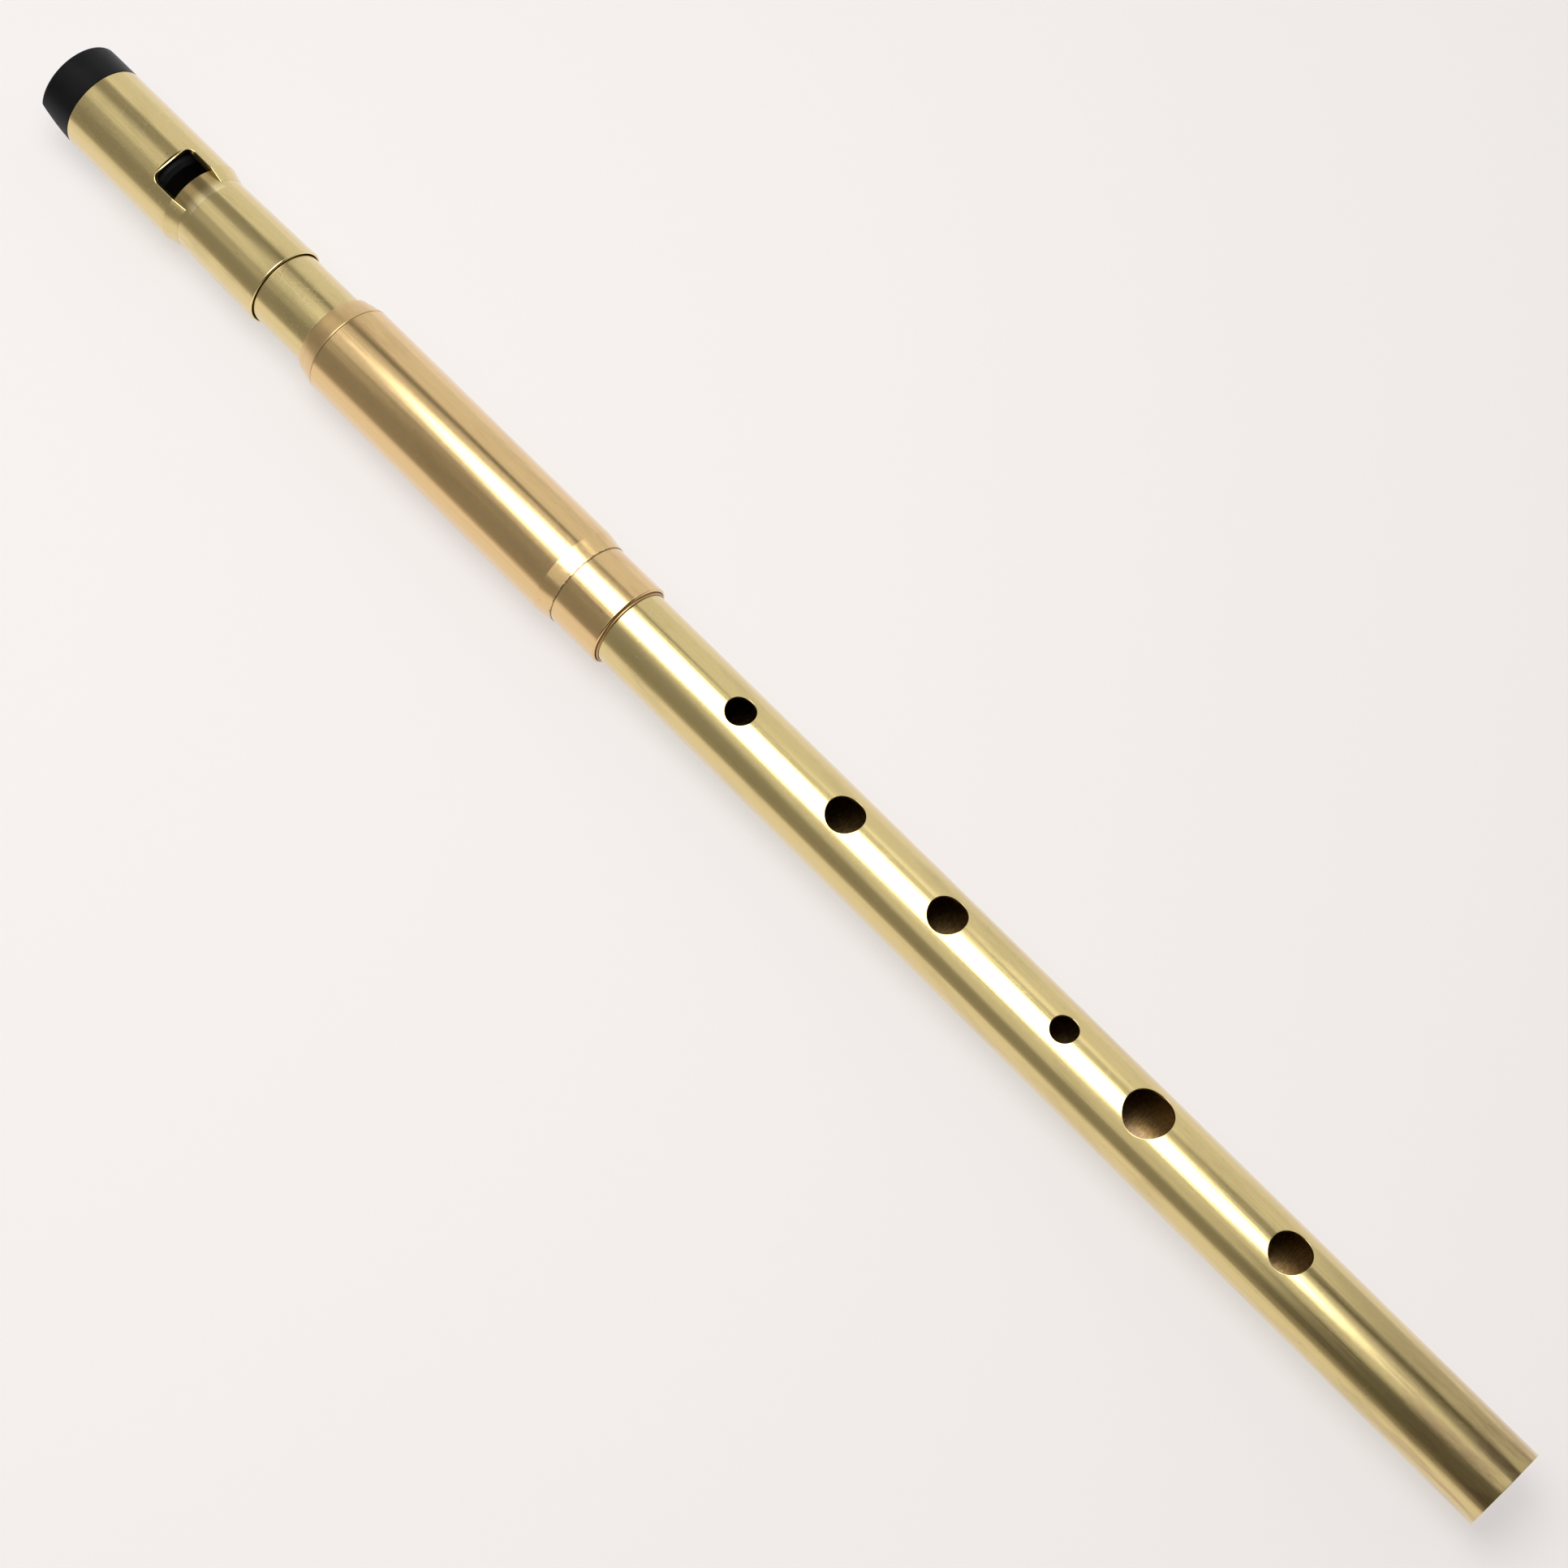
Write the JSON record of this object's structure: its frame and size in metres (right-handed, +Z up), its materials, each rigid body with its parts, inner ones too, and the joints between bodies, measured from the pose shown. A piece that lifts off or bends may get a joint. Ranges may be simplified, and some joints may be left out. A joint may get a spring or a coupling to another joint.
{
  "type": "low whistle",
  "caption": "Long brass fipple flute with finger holes, a sleeved body joint, a turning tuning tube and a sliding head with a scooped black plastic mouthpiece plug.",
  "frame": {"origin": "on the surface the whistle lies on, under the middle of its length and under its bore axis", "axes": "+X along the bore from the mouthpiece to the foot, +Y to one side, +Z up, the way the finger holes face"},
  "size_m": [0.5956, 0.0306, 0.0307],
  "materials": {
    "fipple_plug": "black, satin",
    "head_tube": "brushed lengthwise, unlacquered",
    "head_sleeve": "brushed lengthwise, unlacquered",
    "tuning_tube": "brushed lengthwise, lightly scratched by sliding",
    "end_ring": "turned, satin",
    "joint_sleeve": "brushed lengthwise, warmer tone",
    "joint_tube": "brushed lengthwise, warmer tone",
    "tenon_sleeve": "brushed, darkened at the edge",
    "body_tube": "brushed lengthwise, unlacquered"
  },
  "bodies": {
    "joint": {"joint_sleeve": "joint_sleeve", "joint_tube": "joint_tube", "end_ring": "end_ring"},
    "lower_body": {"body_tube": "body_tube", "tenon_sleeve": "tenon_sleeve"},
    "tuning": {"tuning_tube": "tuning_tube"},
    "head": {"head_tube": "head_tube", "head_sleeve": "head_sleeve", "fipple_plug": "fipple_plug"}
  },
  "joints": [
    {"name": "body_draw", "type": "slide", "parent": "joint", "child": "lower_body", "axis": [1, 0, 0], "range_m": [0, 0.047]},
    {"name": "tube_turn", "type": "hinge", "parent": "joint", "child": "tuning", "pos_m": [-0.19, 0, 0.01533], "axis": [1, 0, 0], "continuous": true},
    {"name": "head_slide", "type": "slide", "parent": "tuning", "child": "head", "axis": [-1, 0, 0], "range_m": [-0.006, 0.012]}
  ]
}
